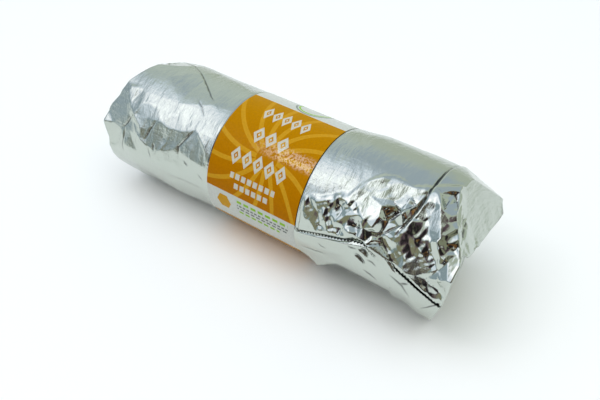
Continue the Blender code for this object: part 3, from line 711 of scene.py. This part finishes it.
def close_ends(points, s, angle, place, share):
    """Draws the ends in: flat faces inside their rims, with tucks that run in from the rim."""
    depth, count, turn = TUCKS
    tuck = depth * np.sin(np.radians(angle * count + turn)) * np.sin(np.pi * share)
    left = (share < 1.0) & (place < 0.0)
    points[left, 0] = (s * share + LEFT_POLE * (1.0 - share) + tuck)[left]
    points[left, 1:] *= share[left, None]

    # At the crumpled end the upper foil comes down to the lip, and then turns in under it
    lip_point = np.stack([np.full_like(s, RIGHT_END), LIP_WIDTH * points[:, 1],
                          LIP_HEIGHT + LIP_TILT * LIP_WIDTH * points[:, 1]], axis=-1)
    pole = np.array([TUCKED_END, 0.0, TUCKED_POLE])
    hang = blend(*HANG, points[:, 2] - LIP_HEIGHT - LIP_TILT * points[:, 1])[:, None]
    halfway = (points + pole) / 2.0
    halfway[:, 0] = TUCKED_END
    halfway += hang * (lip_point - halfway)
    outer = np.clip(2.0 * share - 1.0, 0.0, 1.0)[:, None]
    inner = np.clip(2.0 * share, 0.0, 1.0)[:, None]
    ends = np.where(outer > 0.0, halfway + outer * (points - halfway), pole + inner * (halfway - pole))
    ear = (s - TUCKED_END) * (blend(*EAR_RIM, share) - outer[:, 0]) * (1.0 - hang[:, 0])
    ends[:, 0] += ear + tuck * (1.0 - hang[:, 0])
    right = (share < 1.0) & (place > 0.0)
    points[right] = ends[right]

    for direction, reach in FOLD_PLANES:
        direction = np.array(direction) / np.linalg.norm(direction)
        beyond = np.maximum(points @ direction - reach, 0.0)
        points -= beyond[:, None] * direction


def foil_points(place, share, phi):
    """The foil's main form: place runs along the body, and share from 0 in an end's middle to 1.
    Gives the points, and the s and phi that each came from."""
    left_rim, right_rim = by_angle(LEFT_RIM, phi), by_angle(RIGHT_RIM, phi)
    s = np.where(place < LEFT_LEAN,
                 LEFT_LEAN + (place - LEFT_LEAN) * (left_rim - LEFT_LEAN) / (LEFT_END - LEFT_LEAN), place)
    s = np.where(place > RIGHT_LEAN,
                 RIGHT_LEAN + (place - RIGHT_LEAN) * (right_rim - RIGHT_LEAN) / (RIGHT_END - RIGHT_LEAN), s)
    angle = (phi + 180.0) % 360.0 - 180.0
    points = on_roll(s, angle, smooth_radius(s, angle))

    # Soft folds in the smooth foil, rounded ones on the left part and sharp ones where it is crumpled
    soft, covered = folded(s, angle, scattered_folds(SOFT_SPACING, SOFT_HEIGHT, SOFT_SEED, *SOFT_AREA), [])
    left = left_share(s, angle)
    amount = np.where(covered, SOFT_SHARE * blend(*SOFT_NEAR_BAND, np.abs(s)), 0.0)
    amount *= 1.0 + SOFT_MORE_AT_BACK * near_angle(angle, *BACK)
    amount *= 1.0 - SOFT_LESS_IN_MIDDLE * within(s, *SOFT_MIDDLE)
    amount *= (1.0 - near_angle(angle, *UNDERSIDE)) * (1.0 - left)
    points += amount[:, None] * (soft - points)
    rounded, covered = rounded_folds(s, angle, *named_folds(LEFT_CORNERS, LEFT_LINES), LEFT_ROUNDING)
    points += np.where(covered, left, 0.0)[:, None] * (rounded - points)
    named, links = named_folds(FOLD_CORNERS, FOLD_LINES)
    corners = scattered_folds(FOLD_SPACING, FOLD_HEIGHT, CRUMPLE_SEED, *FOLD_AREA, named, FOLD_CLEAR)
    sharp, covered = folded(s, angle, corners, links)
    amount = np.where(covered, crumple_share(s, angle), 0.0)
    points += amount[:, None] * (sharp - points)
    close_ends(points, s, angle, place, share)
    return points, s, angle


def sheet_shadow(s, phi):
    """Where the outer sheet keeps the light off the foil beside it."""
    above = (phi - along(SHEET_TOP, s)) * ARC
    below = along(SHEET_FOOT, s) - phi
    in_gap = np.exp(-(np.maximum(above, 0.0) / GAP_REACH) ** 2) * along(CUT_SHADE, s)
    at_foot = FOOT_SHADE * within(s, *FOOT_STRETCH) * (1.0 - blend(*FOOT_REACH, below))
    shade = np.maximum(np.where(above > -TOOTH_DEPTH, in_gap, 0.0), np.where(below > 0.0, at_foot, 0.0))
    return shade * (s > SHEET_START)


def keep_off_floor(points):
    """Flattens what would sink below the floor, a little higher under the band."""
    under_band = 1.0 - blend(WAIST_FOOT, WAIST_EDGE, np.abs(points[:, 0]))
    floor = FLOOR + (BAND_FLOOR + PAPER + GAP - FLOOR) * under_band
    points[:, 2] = np.maximum(points[:, 2], floor)


def stations(start, steps):
    """Places from start on, evenly spaced in each stretch of (end, steps)."""
    places = [start]
    for end, count in steps:
        first = places[-1]
        places += [first + (end - first) * (i + 1) / count for i in range(count)]
    return np.array(places)


def outward(grid, across):
    """Unit normals of a grid of points whose rows run along the roll."""
    normal = np.cross(np.gradient(grid, axis=0), across).reshape(-1, 3)
    return normal / (np.linalg.norm(normal, axis=1)[:, None] + 1e-12)


def vertex_places(mesh):
    """Where a primitive's vertices lie, as rows of x, y and z."""
    places = np.zeros(len(mesh.vertices) * 3)
    mesh.vertices.foreach_get("co", places)
    return places.reshape(-1, 3)


def face_corners(mesh):
    """The vertex at each corner of the faces."""
    corner = np.zeros(len(mesh.loops), dtype=int)
    mesh.loops.foreach_get("vertex_index", corner)
    return corner


def shape_foil(mesh, points, painted_shade, crumpled, unrolled, margin=0.0):
    """Moves a primitive's vertices to their places on the roll, a margin inside the frame's box, and
    stores what the foil's material reads: how much painted shade a vertex takes in creases and at
    sheet edges, how crumpled it is there, and the surface's own map, in millimetres along and round
    the roll."""
    low, high = np.array(cad_box[0]) + margin, np.array(cad_box[1]) - margin
    mesh.vertices.foreach_set("co", np.clip(AXIS + UNIT * points, low, high).ravel())
    for name, values in (("painted_shade", painted_shade), ("crumpled", crumpled)):
        mesh.attributes.new(name, "FLOAT", "POINT").data.foreach_set("value", values)
    mesh.uv_layers[0].name = "unrolled"
    mesh.uv_layers[0].data.foreach_set("uv", (unrolled / MM).ravel())
    mesh.update()


def thicken(piece, name, thickness, crisp):
    """Gives a sheet its thickness inwards, and keeps edges sharper than crisp degrees."""
    skin = piece.modifiers.new(name, "SOLIDIFY")
    skin.thickness = thickness
    skin.offset = -1.0
    bpy.ops.object.modifier_apply(modifier=skin.name)
    bpy.ops.object.shade_smooth_by_angle(angle=math.radians(crisp))


def finished(piece, material):
    """Gives a piece its material, and lets it ride on the frame."""
    piece.data.materials.clear()
    piece.data.materials.append(material)
    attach(piece, "root")


def fine_folds(points, s, angle, place, on_body, crumple):
    """Height of the fine folds, which stand out in patches in the open crumpled foil."""
    places = np.stack([s, angle * ARC], axis=-1) * PATCHES
    patchy = [noise.noise(Vector((x, y, PATCH_SEED))) for x, y in places]
    least, added = PATCH_SHARES
    patchy = least + added * blend(*PATCH_EDGE, np.array(patchy))
    above_sheet = (angle - along(SHEET_TOP, s)) * ARC
    open_part = crumple * blend(*LINES_CLEAR, above_sheet) * (1.0 - CALMER_FOLDS * calm_share(s, angle))
    rise = np.zeros(s.shape)
    for spacing, high, low, seed, shard_turn, squeeze in FINE_FOLDS:
        shards = along_shards(s, angle, shard_turn, squeeze)
        body = fold_heights(*shards, spacing, 1.0, seed)
        end = fold_heights(points[:, 1], points[:, 2], spacing, 1.0, seed + END_SEED)
        low = np.where(on_body, low, np.where(place < 0.0, *END_FOLDS) * low)
        rise += np.where(on_body, body, end) * (low + (high - low) * open_part * patchy)
    return rise


def sunk(grid, normal):
    """How far each point lies below its four neighbours, summed."""
    around = np.roll(grid, -1, axis=1) + np.roll(grid, 1, axis=1) - 2.0 * grid
    along_roll = np.zeros_like(grid)
    along_roll[1:-1] = grid[2:] + grid[:-2] - 2.0 * grid[1:-1]
    return ((around + along_roll).reshape(-1, 3) * normal).sum(axis=1)


def columns_at_corners(mesh, row, column, last_row, columns):
    """The vertex and the column of each face's corners, and which of them start another turn: a face
    over the sphere's seam wraps round, and at a pole each corner takes its own face's column."""
    corner = face_corners(mesh)
    first = np.zeros(len(mesh.polygons), dtype=int)
    mesh.polygons.foreach_get("loop_start", first)
    count = np.diff(np.append(first, len(corner)))
    last_column = np.repeat(np.maximum.reduceat(column[corner], first), count)
    at_pole = row[corner] % last_row == 0
    own_column = np.where(at_pole, last_column, column[corner])
    return corner, own_column, (last_column == columns - 1) & (own_column == 0)


def model_foil(material):
    """The whole foil: a UV sphere's rows become the rings of ends and body, its columns the turn."""
    body = stations(LEFT_END, BODY_STEPS)
    left = [(LEFT_END, (i + 1) / CAP_STEPS_LEFT) for i in range(CAP_STEPS_LEFT - 1)]
    right = [(RIGHT_END, (i + 1) / CAP_STEPS_RIGHT) for i in range(CAP_STEPS_RIGHT - 1)]
    rings = [(LEFT_END, 0.0)] + left + [(s, 1.0) for s in body] + right[::-1] + [(RIGHT_END, 0.0)]
    turn = stations(ROUND_START, ROUND_STEPS)[:-1]
    rows, columns = len(rings), len(turn)
    place = np.repeat([ring[0] for ring in rings], columns)
    share = np.repeat([ring[1] for ring in rings], columns)
    points, s, angle = foil_points(place, share, np.tile(turn, rows))

    # Fine relief stands out along the main form's own normals
    grid = points.reshape(rows, columns, 3)
    normal = outward(grid, np.roll(grid, -1, axis=1) - np.roll(grid, 1, axis=1))
    on_body = share >= 1.0
    crumple = crumple_share(s, angle)
    rise, depth = thin_lines(s, angle)
    rise = (rise + wrinkles(s, angle) * (1.0 - crumple)) * on_body
    rise += fine_folds(points, s, angle, place, on_body, crumple)
    clear = blend(*RELIEF_NEAR_BAND, np.abs(s))
    points += (rise * clear)[:, None] * normal
    keep_off_floor(points)

    # Folded-in creases lie below their neighbours and hold little light, so they take painted shade, as do
    # the thin lines and the foil beside the outer sheet
    crease_painted_shade = blend(*CREASE_DEPTH, sunk(points.reshape(rows, columns, 3), normal)) * crumple
    depth = np.maximum(np.maximum(depth, crease_painted_shade), sheet_shadow(s, angle)) * on_body

    bpy.ops.mesh.primitive_uv_sphere_add(segments=columns, ring_count=rows - 1, radius=1.0)
    foil = bpy.context.object
    foil.name = "foil_sheet"
    x, y, z = vertex_places(foil.data).T
    row = np.rint(np.arccos(np.clip(-z, -1.0, 1.0)) / math.pi * (rows - 1)).astype(int)
    column = np.rint(np.arctan2(x, y) / math.tau * columns).astype(int) % columns
    order = row * columns + column
    corner, own_column, next_turn = columns_at_corners(foil.data, row, column, rows - 1, columns)

    # The map runs on over the ends
    run = s + np.sign(place) * (1.0 - share) * FOIL_RADIUS
    unrolled = np.stack([run[order][corner], (turn[own_column] + 360.0 * next_turn) * ARC], axis=-1)
    crumpled = crumple * (1.0 - CALMER_LOOK * calm_share(s, angle))
    shape_foil(foil.data, points[order], (depth * clear)[order], crumpled[order], unrolled)
    bpy.ops.object.shade_smooth()
    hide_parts("foil_wrap")
    finished(foil, material)


def sheet_lift(points, s, angle):
    """How far the outer sheet stands off the main form: it lies a little over the foil, curls in at
    its cut, slips under the roll, and its loose corner hangs flat."""
    away = (along(SHEET_TOP, s) - angle) * ARC
    curl = along(SHEET_CURL, s) * (1.0 - np.clip(away / CURL_WIDTH, 0.0, 1.0))
    radius = np.hypot(points[:, 1], points[:, 2])
    loose = along(SHEET_RISE, s) * (1.0 - blend(*RISE_FADE, away)) - (radius - smooth_radius(s, angle))
    slip, slip_stretch = SLIP_UNDER
    lift = (SHEET_LIFT + np.maximum(loose, 0.0)) * (1.0 - curl) - slip * falling(*slip_stretch, angle)
    lift += thin_lines(s, angle)[0] * blend(*LINES_CLEAR, away)
    for spacing, _, low, seed, *_ in FINE_FOLDS:
        lift += fold_heights(s, angle * ARC, spacing, 1.0, seed) * low
    flat = CORNER_RADIUS / np.cos(np.radians(angle - CORNER_TANGENT)) - radius
    in_corner = (1.0 - blend(*CORNER_END, s)) * falling(*CORNER_TOP, angle)
    return lift + np.maximum(flat - lift, 0.0) * in_corner


def model_outer_sheet(material):
    """The outer sheet over the crumpled foil's foot: a flat grid laid on the roll, its top saw-cut and
    curled in, and its torn corner hanging free."""
    columns, rows = SHEET_STEPS
    u = np.repeat(np.linspace(0.0, 1.0, columns + 1), rows + 1)
    down = 1.0 - np.tile(np.linspace(0.0, 1.0, rows + 1), columns + 1)
    end = by_angle(RIGHT_RIM, 0.0) - RIM_CLEAR
    s = SHEET_START + u * (end - SHEET_START)
    tooth = 2.0 * np.abs((s / TOOTH_PITCH) % 1.0 - 0.5)
    top = along(SHEET_TOP, s) - tooth * TOOTH_DEPTH / ARC
    phi = top + (along(SHEET_FOOT, s) - top) * down ** SHEET_CROWDING

    # It reaches to just short of the uneven rim, over which the body's rings lean
    rim = by_angle(RIGHT_RIM, phi)
    s += (rim - RIM_CLEAR - end) * u * u
    leaning = RIGHT_LEAN + (s - RIGHT_LEAN) * (RIGHT_END - RIGHT_LEAN) / (rim - RIGHT_LEAN)
    points, s, angle = foil_points(np.where(s > RIGHT_LEAN, leaning, s), np.ones_like(s), phi)
    grid = points.reshape(columns + 1, rows + 1, 3)
    points += sheet_lift(points, s, angle)[:, None] * outward(grid, np.gradient(grid, axis=1))
    keep_off_floor(points)

    bpy.ops.mesh.primitive_grid_add(x_subdivisions=columns, y_subdivisions=rows, size=1.0)
    sheet = bpy.context.object
    sheet.name = "foil_outer_sheet"
    x, y, _ = (vertex_places(sheet.data) + 0.5).T
    order = (np.rint(x * columns) * (rows + 1) + np.rint(y * rows)).astype(int)
    # How deep in a valley or under a sheet edge each point lies, which sets its painted shade
    depth = thin_lines(s, angle)[1]
    unrolled = np.stack([s, angle * ARC], axis=-1)[order][face_corners(sheet.data)]
    thickness = SHEET_THICKNESS * UNIT
    shape_foil(sheet.data, points[order], depth[order], np.zeros(len(order)), unrolled, thickness)
    thicken(sheet, "foil thickness", thickness, SHEET_CRISP)
    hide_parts("foil_wrap")
    finished(sheet, material)


def model_band(material):
    """The paper band: a flat grid wound round the roll, its end glued over its start at the back."""
    bpy.ops.mesh.primitive_grid_add(x_subdivisions=BAND_STEPS[0], y_subdivisions=BAND_STEPS[1], size=1.0)
    band = bpy.context.object
    band.name = "paper_sleeve"
    x, y, _ = vertex_places(band.data).T
    along_roll = 2.0 * x * BAND_HALF
    around = BAND_START + (y + 0.5) * BAND_TURNS * 360.0
    lap = 1.0 - blend(*LAP_STRETCH, around - BAND_START)
    points = on_roll(along_roll, around, BAND_RADIUS - LAP_DEPTH * PAPER * lap)
    points[:, 2] = np.maximum(points[:, 2], BAND_FLOOR)
    band.data.vertices.foreach_set("co", (AXIS + UNIT * points).ravel())
    prints = np.stack([along_roll, (around - 360.0) * ARC], axis=-1) / MM
    band.data.uv_layers[0].name = "print"
    band.data.uv_layers[0].data.foreach_set("uv", prints[face_corners(band.data)].ravel())
    band.data.update()
    thicken(band, "paper thickness", PAPER * UNIT, BAND_CRISP)
    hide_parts("paper_band")
    finished(band, material)


def add_node(tree, kind, *values, output=0, **named):
    """Adds a node and gives one of its outputs. The values go to its sockets in order, a named value
    to the setting or, with _ for a space, the socket of that name."""
    made = tree.nodes.new("ShaderNode" + kind)
    for name in [name for name in named if hasattr(made, name)]:
        setattr(made, name, named.pop(name))
    for socket, value in [*enumerate(values), *((name.replace("_", " "), named[name]) for name in named)]:
        if isinstance(value, bpy.types.NodeSocket):
            tree.links.new(value, made.inputs[socket])
        elif value is not None:
            made.inputs[socket].default_value = value
    return made.outputs[output]


def new_material(name):
    """A material, its nodes and its surface node."""
    material = bpy.data.materials.new(name)
    material.use_nodes = True
    return material, material.node_tree, material.node_tree.nodes["Principled BSDF"]


def aluminium_foil():
    """Household aluminium foil: thin rolled metal that mirrors the studio a little softly. Small
    wrinkles and scratches break up its highlights, and the rolling mill's fine lines draw them out."""
    material, tree, surface = new_material("aluminium foil")
    unrolled = add_node(tree, "UVMap", uv_map="unrolled")
    place = add_node(tree, "TexCoord", output=3)

    # The grain shows less in the crumpled foil, which is pulled taut between its folds
    crumpled = add_node(tree, "Attribute", attribute_name="crumpled", output=2)
    strength = add_node(tree, "MapRange", crumpled, 0.0, 1.0, 1.0, CRUMPLED_GRAIN)
    relief = None
    for along_roll, round_roll, detail, roughness, depth in FOIL_GRAIN:
        stretched = add_node(tree, "Mapping", unrolled, Scale=(along_roll, round_roll, 1.0))
        grain = add_node(tree, "TexNoise", stretched, Scale=1.0, Detail=detail, Roughness=roughness)
        relief = add_node(tree, "Bump", strength, depth, Height=grain, Normal=relief)
    tree.links.new(relief, surface.inputs["Normal"])

    # Handled foil is glossier in some patches than in others, and mirrors best where it is crumpled
    patches = add_node(tree, "TexNoise", place, Scale=1000.0 / GLOSSY_PATCH, Detail=3.0)
    gloss = add_node(tree, "MapRange", patches, *NOISE_MIDDLE, *FOIL_ROUGHNESS)
    roughness = add_node(tree, "Math", crumpled, -CRUMPLED_GLOSS, gloss, operation="MULTIPLY_ADD")
    tree.links.new(roughness, surface.inputs["Roughness"])

    # Bare metal, with painted shade in its colour down in the valleys, creases and sheet edges that the light
    # can't reach
    painted_shade = add_node(tree, "Attribute", attribute_name="painted_shade", output=2)
    shade = add_node(tree, "MapRange", painted_shade, *PAINTED_SHADE_DEPTHS, 0.0, PAINTED_SHADE_DARKEST)
    metal_with_painted_shade = add_node(tree, "Mix", shade, data_type="RGBA", output=2)
    metal_with_painted_shade.node.inputs[6].default_value = (*linear(FOIL_METAL), 1.0)
    metal_with_painted_shade.node.inputs[7].default_value = (*linear(FOIL_PAINTED_SHADE), 1.0)
    tree.links.new(metal_with_painted_shade, surface.inputs["Base Color"])
    surface.inputs["Metallic"].default_value = 1.0
    return material


def printed_paper():
    """Coated label paper: an orange field with a sunburst of ochre rays and rows of pale ornaments,
    between pale strips. Lengths are in millimetres, x along the roll and y round it from the front."""
    material, tree, surface = new_material("printed paper")
    unrolled = add_node(tree, "UVMap", uv_map="print")
    x = add_node(tree, "SeparateXYZ", unrolled)
    y = x.node.outputs[1]
    colour = add_node(tree, "RGB")
    colour.default_value = (*linear(PAPER_WHITE), 1.0)

    def ink(mask, tone, under):
        """Prints a tone where the mask is 1."""
        printed = add_node(tree, "Mix", mask, data_type="RGBA", output=2)
        tree.links.new(under, printed.node.inputs[6])
        printed.node.inputs[7].default_value = (*linear(tone), 1.0)
        return printed

    def times(one, other):
        """Two values multiplied, or 1 where two masks both are."""
        return add_node(tree, "Math", one, other, operation="MULTIPLY")

    def band(value, low, high):
        """1 where a value lies between low and high."""
        above = add_node(tree, "Math", value, low, operation="GREATER_THAN")
        return times(above, add_node(tree, "Math", value, high, operation="LESS_THAN"))

    def repeat(value, pitch):
        """0 at every second multiple of the pitch, rising evenly to 1 at those between them."""
        steps = add_node(tree, "Math", value, pitch, operation="PINGPONG")
        return add_node(tree, "Math", steps, pitch, operation="DIVIDE")

    def from_middle(middle):
        """Across and up from a middle, and the distance from it."""
        across = add_node(tree, "Math", x, middle[0], operation="SUBTRACT")
        up = add_node(tree, "Math", y, middle[1], operation="SUBTRACT")
        away = add_node(tree, "Math", times(across, across), times(up, up), operation="ADD")
        return across, up, add_node(tree, "Math", away, 0.5, operation="POWER")

    # The orange fields: the front one, deeper towards its foot, and the next one under the roll
    colour = ink(band(y, *FIELD), INK_DEEP_ORANGE, colour)
    height = add_node(tree, "MapRange", y, *FIELD)
    colour = ink(times(height, band(y, *FIELD)), INK_ORANGE, colour)
    colour = ink(add_node(tree, "Math", y, NEXT_FIELD, operation="LESS_THAN"), INK_ORANGE, colour)

    # Rays of the sunburst: evenly spread in angle, as wide as a stripe wherever they run
    across, up, away = from_middle(SUN)
    turn = add_node(tree, "Math", up, across, operation="ARCTAN2")
    twisted = add_node(tree, "Math", away, RAY_TWIST, turn, operation="MULTIPLY_ADD")
    aside = repeat(twisted, math.pi / RAYS)
    aside = times(add_node(tree, "Math", aside, math.pi / RAYS, operation="MULTIPLY"), away)
    ray = add_node(tree, "Math", aside, RAY_WIDTH / 2, operation="LESS_THAN")
    ray = times(ray, add_node(tree, "Math", away, SUN_CLEAR, operation="GREATER_THAN"))
    colour = ink(times(ray, band(y, *FIELD)), INK_OCHRE, colour)

    # Rows of ornaments: hollow diamonds with a dot inside, then rows of dashes
    for middle, half_height, half_length, pitch in DIAMONDS:
        side = repeat(x, pitch / 2)
        height = add_node(tree, "Math", y, middle, operation="SUBTRACT")
        height = add_node(tree, "Math", height, operation="ABSOLUTE")
        height = add_node(tree, "Math", height, half_height, operation="DIVIDE")
        inward = add_node(tree, "Math", side, height, operation="ADD")
        dot = add_node(tree, "Math", inward, DIAMOND_DOT, operation="LESS_THAN")
        shape = add_node(tree, "Math", band(inward, *DIAMOND_LINE), dot, operation="ADD")
        colour = ink(times(shape, band(x, -half_length, half_length)), INK_PALE, colour)
    for middle, half_height, start, end, pitch, tone in DASHES:
        row = times(band(y, middle - half_height, middle + half_height), band(x, start, end))
        dash = add_node(tree, "Math", repeat(x, pitch / 2), DASH_GAP, operation="GREATER_THAN")
        colour = ink(times(row, dash), tone, colour)

    # A small ochre hexagon on the lower strip, and a ring on the upper one
    right = add_node(tree, "Math", x, HEXAGON[0], operation="SUBTRACT")
    right = add_node(tree, "Math", right, operation="ABSOLUTE")
    up = add_node(tree, "Math", y, HEXAGON[1], operation="SUBTRACT")
    up = add_node(tree, "Math", up, operation="ABSOLUTE")
    slope = add_node(tree, "Math", up, 0.5, right, operation="MULTIPLY_ADD")
    wide = add_node(tree, "Math", slope, HEXAGON[2], operation="LESS_THAN")
    high = add_node(tree, "Math", up, HEXAGON[2], operation="LESS_THAN")
    colour = ink(times(wide, high), INK_OCHRE, colour)
    _, _, away = from_middle(RING[:2])
    for outer, inner, tone in RING_LINES:
        colour = ink(band(away, RING[2] - inner, RING[2] - outer), tone, colour)

    # A slightly uneven ink film, and the paper's grain in its sheen
    place = add_node(tree, "TexCoord", output=3)
    film = add_node(tree, "TexNoise", place, Scale=1000.0 / INK_FILM, Detail=2.0)
    film = add_node(tree, "MapRange", film, *NOISE_MIDDLE, *FILM_TONES)
    printed = add_node(tree, "VectorMath", colour, film, operation="MULTIPLY")
    tree.links.new(printed, surface.inputs["Base Color"])
    grain = add_node(tree, "TexNoise", place, Scale=1000.0 / PAPER_GRAIN, Detail=2.0)
    grained = add_node(tree, "Bump", Height=grain, Strength=1.0, Distance=GRAIN_DEPTH)
    tree.links.new(grained, surface.inputs["Normal"])
    surface.inputs["Roughness"].default_value = PAPER_ROUGHNESS

    # A rubbed stripe along the roll, whose polished specks catch the light
    middle, half_height, fade = RUBBED
    off = add_node(tree, "Math", y, middle, operation="SUBTRACT")
    off = add_node(tree, "Math", off, operation="ABSOLUTE")
    stripe = add_node(tree, "MapRange", off, half_height, RUBBED_CORE * half_height,
                      interpolation_type="SMOOTHSTEP")
    growing = add_node(tree, "MapRange", x, *fade, RUBBED_LEAST, 1.0, interpolation_type="SMOOTHSTEP")
    specks = add_node(tree, "TexNoise", place, Scale=1000.0 / RUBBED_SPECK, Detail=2.0, Roughness=0.6)
    specks = add_node(tree, "MapRange", specks, *SPECK_EDGE)
    stripe = times(times(stripe, growing), specks)
    polish = add_node(tree, "Math", stripe, RUBBED_SHINE, PLAIN_SHINE, operation="MULTIPLY_ADD")
    tree.links.new(polish, surface.inputs["Specular IOR Level"])
    tree.links.new(stripe, surface.inputs["Coat Weight"])
    surface.inputs["Coat Roughness"].default_value = COAT_ROUGHNESS
    surface.inputs["Coat IOR"].default_value = COAT_IOR
    surface.inputs["Specular Tint"].default_value = (*linear(SHEEN), 1.0)
    return material


def matt_board():
    """Matt pale studio board, painted, so that it takes soft shadows and no shine."""
    material, _, surface = new_material("matt board")
    surface.inputs["Base Color"].default_value = (*linear(BOARD), 1.0)
    surface.inputs["Roughness"].default_value = BOARD_ROUGHNESS
    return material


def set_camera():
    """The photographed view."""
    data = bpy.data.cameras.new("view")
    data.sensor_width = SENSOR_WIDTH
    data.lens = FOCAL_PIXELS / IMAGE_WIDTH * SENSOR_WIDTH
    camera = bpy.data.objects.new("view", data)
    bpy.context.scene.collection.objects.link(camera)
    turn = Matrix((CAMERA_RIGHT, CAMERA_UP, CAMERA_BACK)).transposed().to_4x4()
    camera.matrix_world = Matrix.Translation(Vector(AXIS) + UNIT * Vector(CAMERA_PLACE)) @ turn
    bpy.context.scene.camera = camera


def soft_panel(name, direction, distance, width, depth, brightness):
    """A soft panel light that faces the roll, its brightness as the radiance of its face. The foil
    mirrors the room's own panels instead of it."""
    data = bpy.data.lights.new(name, "AREA")
    data.shape = "RECTANGLE"
    data.size, data.size_y = width, depth
    data.energy = brightness * math.pi * width * depth
    panel = bpy.data.objects.new(name, data)
    bpy.context.scene.collection.objects.link(panel)
    panel.location = Vector(AXIS) + distance * Vector(direction).normalized()
    panel.rotation_euler = (-Vector(direction)).to_track_quat("-Z", "Y").to_euler()
    panel.visible_glossy = False


def surroundings():
    """What the foil mirrors of the studio and the room, by direction."""
    world = bpy.data.worlds.new("studio")
    bpy.context.scene.world = world
    world.use_nodes = True
    tree = world.node_tree
    direction = add_node(tree, "TexCoord")
    colour = add_node(tree, "RGB")
    colour.default_value = (*linear(ROOM_WALL), 1.0)
    for towards, outer, inner, tone, strength in ROOM:
        near = add_node(tree, "VectorMath", direction, Vector(towards).normalized(),
                        operation="DOT_PRODUCT", output=1)
        outer, inner = math.cos(math.radians(outer)), math.cos(math.radians(inner))
        amount = add_node(tree, "MapRange", near, outer, inner, interpolation_type="SMOOTHSTEP")
        mixed = add_node(tree, "Mix", amount, data_type="RGBA", output=2)
        tree.links.new(colour, mixed.node.inputs[6])
        mixed.node.inputs[7].default_value = (*(strength * part for part in linear(tone)), 1.0)
        colour = mixed

    # Past the edge of the floor the studio's backdrop is plain and pale
    backdrop = add_node(tree, "Mix", add_node(tree, "LightPath"), data_type="RGBA", output=2)
    tree.links.new(colour, backdrop.node.inputs[6])
    backdrop.node.inputs[7].default_value = (*linear(BACKDROP), 1.0)
    tree.links.new(backdrop, tree.nodes["Background"].inputs["Color"])


def light_studio():
    """The pale board, the room round it and the lights."""
    bpy.ops.mesh.primitive_plane_add(size=BOARD_SIZE, location=(0.0, 0.0, 0.0))
    floor = bpy.context.object
    floor.name = "floor"
    floor.data.materials.append(matt_board())
    surroundings()
    for panel in PANELS:
        soft_panel(*panel)
    bpy.context.scene.view_settings.view_transform = "Standard"


set_camera()
light_studio()
foil_metal = aluminium_foil()
model_foil(foil_metal)
model_outer_sheet(foil_metal)
model_band(printed_paper())
